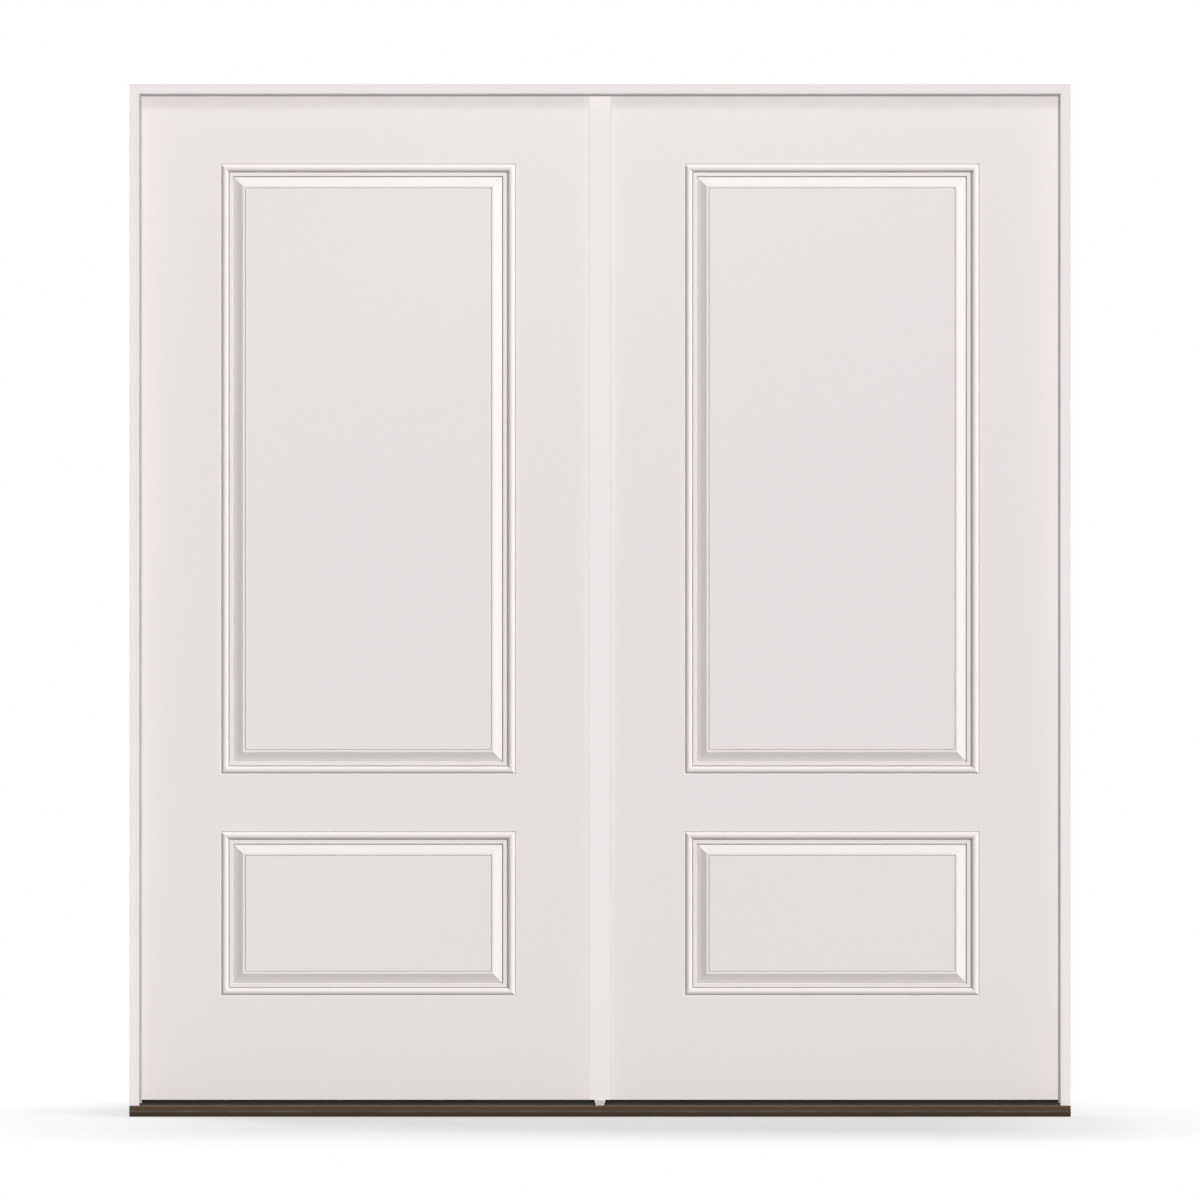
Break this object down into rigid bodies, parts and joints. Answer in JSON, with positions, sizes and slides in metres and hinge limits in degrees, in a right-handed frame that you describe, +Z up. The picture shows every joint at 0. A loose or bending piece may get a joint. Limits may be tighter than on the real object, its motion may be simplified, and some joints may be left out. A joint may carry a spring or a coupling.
{
  "type": "double entry door with frame",
  "caption": "Inswing pair of stamped steel entry door leaves with raised panels, hung in a rabbeted wood frame with an astragal, flush bolts, seals and a bronze sill.",
  "frame": {"origin": "middle of the sill's underside, halfway through the depth of the frame", "axes": "+X to the right as seen from outside, +Y inwards through the doorway, +Z up"},
  "size_m": [1.892, 0.1345, 2.076],
  "materials": {
    "primed_steel": "satin factory primer, smooth",
    "primed_wood": "satin white primer over finger-jointed wood",
    "painted_aluminium": "satin white paint on an extrusion",
    "grey_seal": "matte grey seal",
    "grey_plastic": "matte grey",
    "bronze_aluminium": "satin dark bronze",
    "dark_composite": "matte dark brown",
    "sill_composite": "matte grey brown",
    "black_vinyl": "matte black",
    "bare_wood": "planed pine",
    "foam": "cut face of rigid foam",
    "hinge_steel": "satin nickel plate",
    "bolt_steel": "zinc plate"
  },
  "bodies": {
    "frame": {"head_jamb": "primed_wood", "head_seal": "grey_seal", "head_bolt_strike": "bolt_steel", "sill_core": "sill_composite", "sill_deck": "bronze_aluminium", "sill_cap": "dark_composite", "astragal_sill_pad": "grey_plastic", "left_jamb": "primed_wood", "left_jamb_seal": "grey_seal", "left_corner_pad": "grey_seal", "left_top_jamb_hinge_leaf": "hinge_steel", "left_middle_jamb_hinge_leaf": "hinge_steel", "left_bottom_jamb_hinge_leaf": "hinge_steel", "right_jamb": "primed_wood", "right_jamb_seal": "grey_seal", "right_corner_pad": "grey_seal", "right_top_jamb_hinge_leaf": "hinge_steel", "right_middle_jamb_hinge_leaf": "hinge_steel", "right_bottom_jamb_hinge_leaf": "hinge_steel"},
    "passive_leaf": {"left_exterior_skin": "primed_steel", "left_interior_skin": "primed_steel", "left_foam_core": "foam", "left_hinge_stile": "bare_wood", "left_meeting_stile": "bare_wood", "left_top_rail": "bare_wood", "left_bottom_rail": "bare_wood", "left_door_sweep": "black_vinyl", "left_top_door_hinge_leaf": "hinge_steel", "left_middle_door_hinge_leaf": "hinge_steel", "left_bottom_door_hinge_leaf": "hinge_steel", "astragal": "painted_aluminium", "astragal_seal": "grey_seal"},
    "active_leaf": {"right_exterior_skin": "primed_steel", "right_interior_skin": "primed_steel", "right_foam_core": "foam", "right_hinge_stile": "bare_wood", "right_meeting_stile": "bare_wood", "right_top_rail": "bare_wood", "right_bottom_rail": "bare_wood", "right_door_sweep": "black_vinyl", "right_top_door_hinge_leaf": "hinge_steel", "right_middle_door_hinge_leaf": "hinge_steel", "right_bottom_door_hinge_leaf": "hinge_steel"},
    "top_bolt": {"top_flush_bolt": "bolt_steel"},
    "bottom_bolt": {"bottom_flush_bolt": "bolt_steel"}
  },
  "joints": [
    {"name": "active_leaf_swing", "type": "hinge", "parent": "frame", "child": "active_leaf", "pos_m": [0.9325, 0.0525, 1.09735], "axis": [0, 0, -1], "range_deg": [0, 120]},
    {"name": "passive_leaf_swing", "type": "hinge", "parent": "frame", "child": "passive_leaf", "pos_m": [-0.9325, 0.0525, 1.09735], "axis": [0, 0, 1], "range_deg": [0, 108]},
    {"name": "top_bolt_throw", "type": "slide", "parent": "passive_leaf", "child": "top_bolt", "axis": [0, 0, 1], "range_m": [0, 0.014]},
    {"name": "bottom_bolt_throw", "type": "slide", "parent": "passive_leaf", "child": "bottom_bolt", "axis": [0, 0, -1], "range_m": [0, 0.014]}
  ],
  "couplings": [
    {"joint": "passive_leaf_swing", "follows": "active_leaf_swing", "ratio": 0.9}
  ]
}
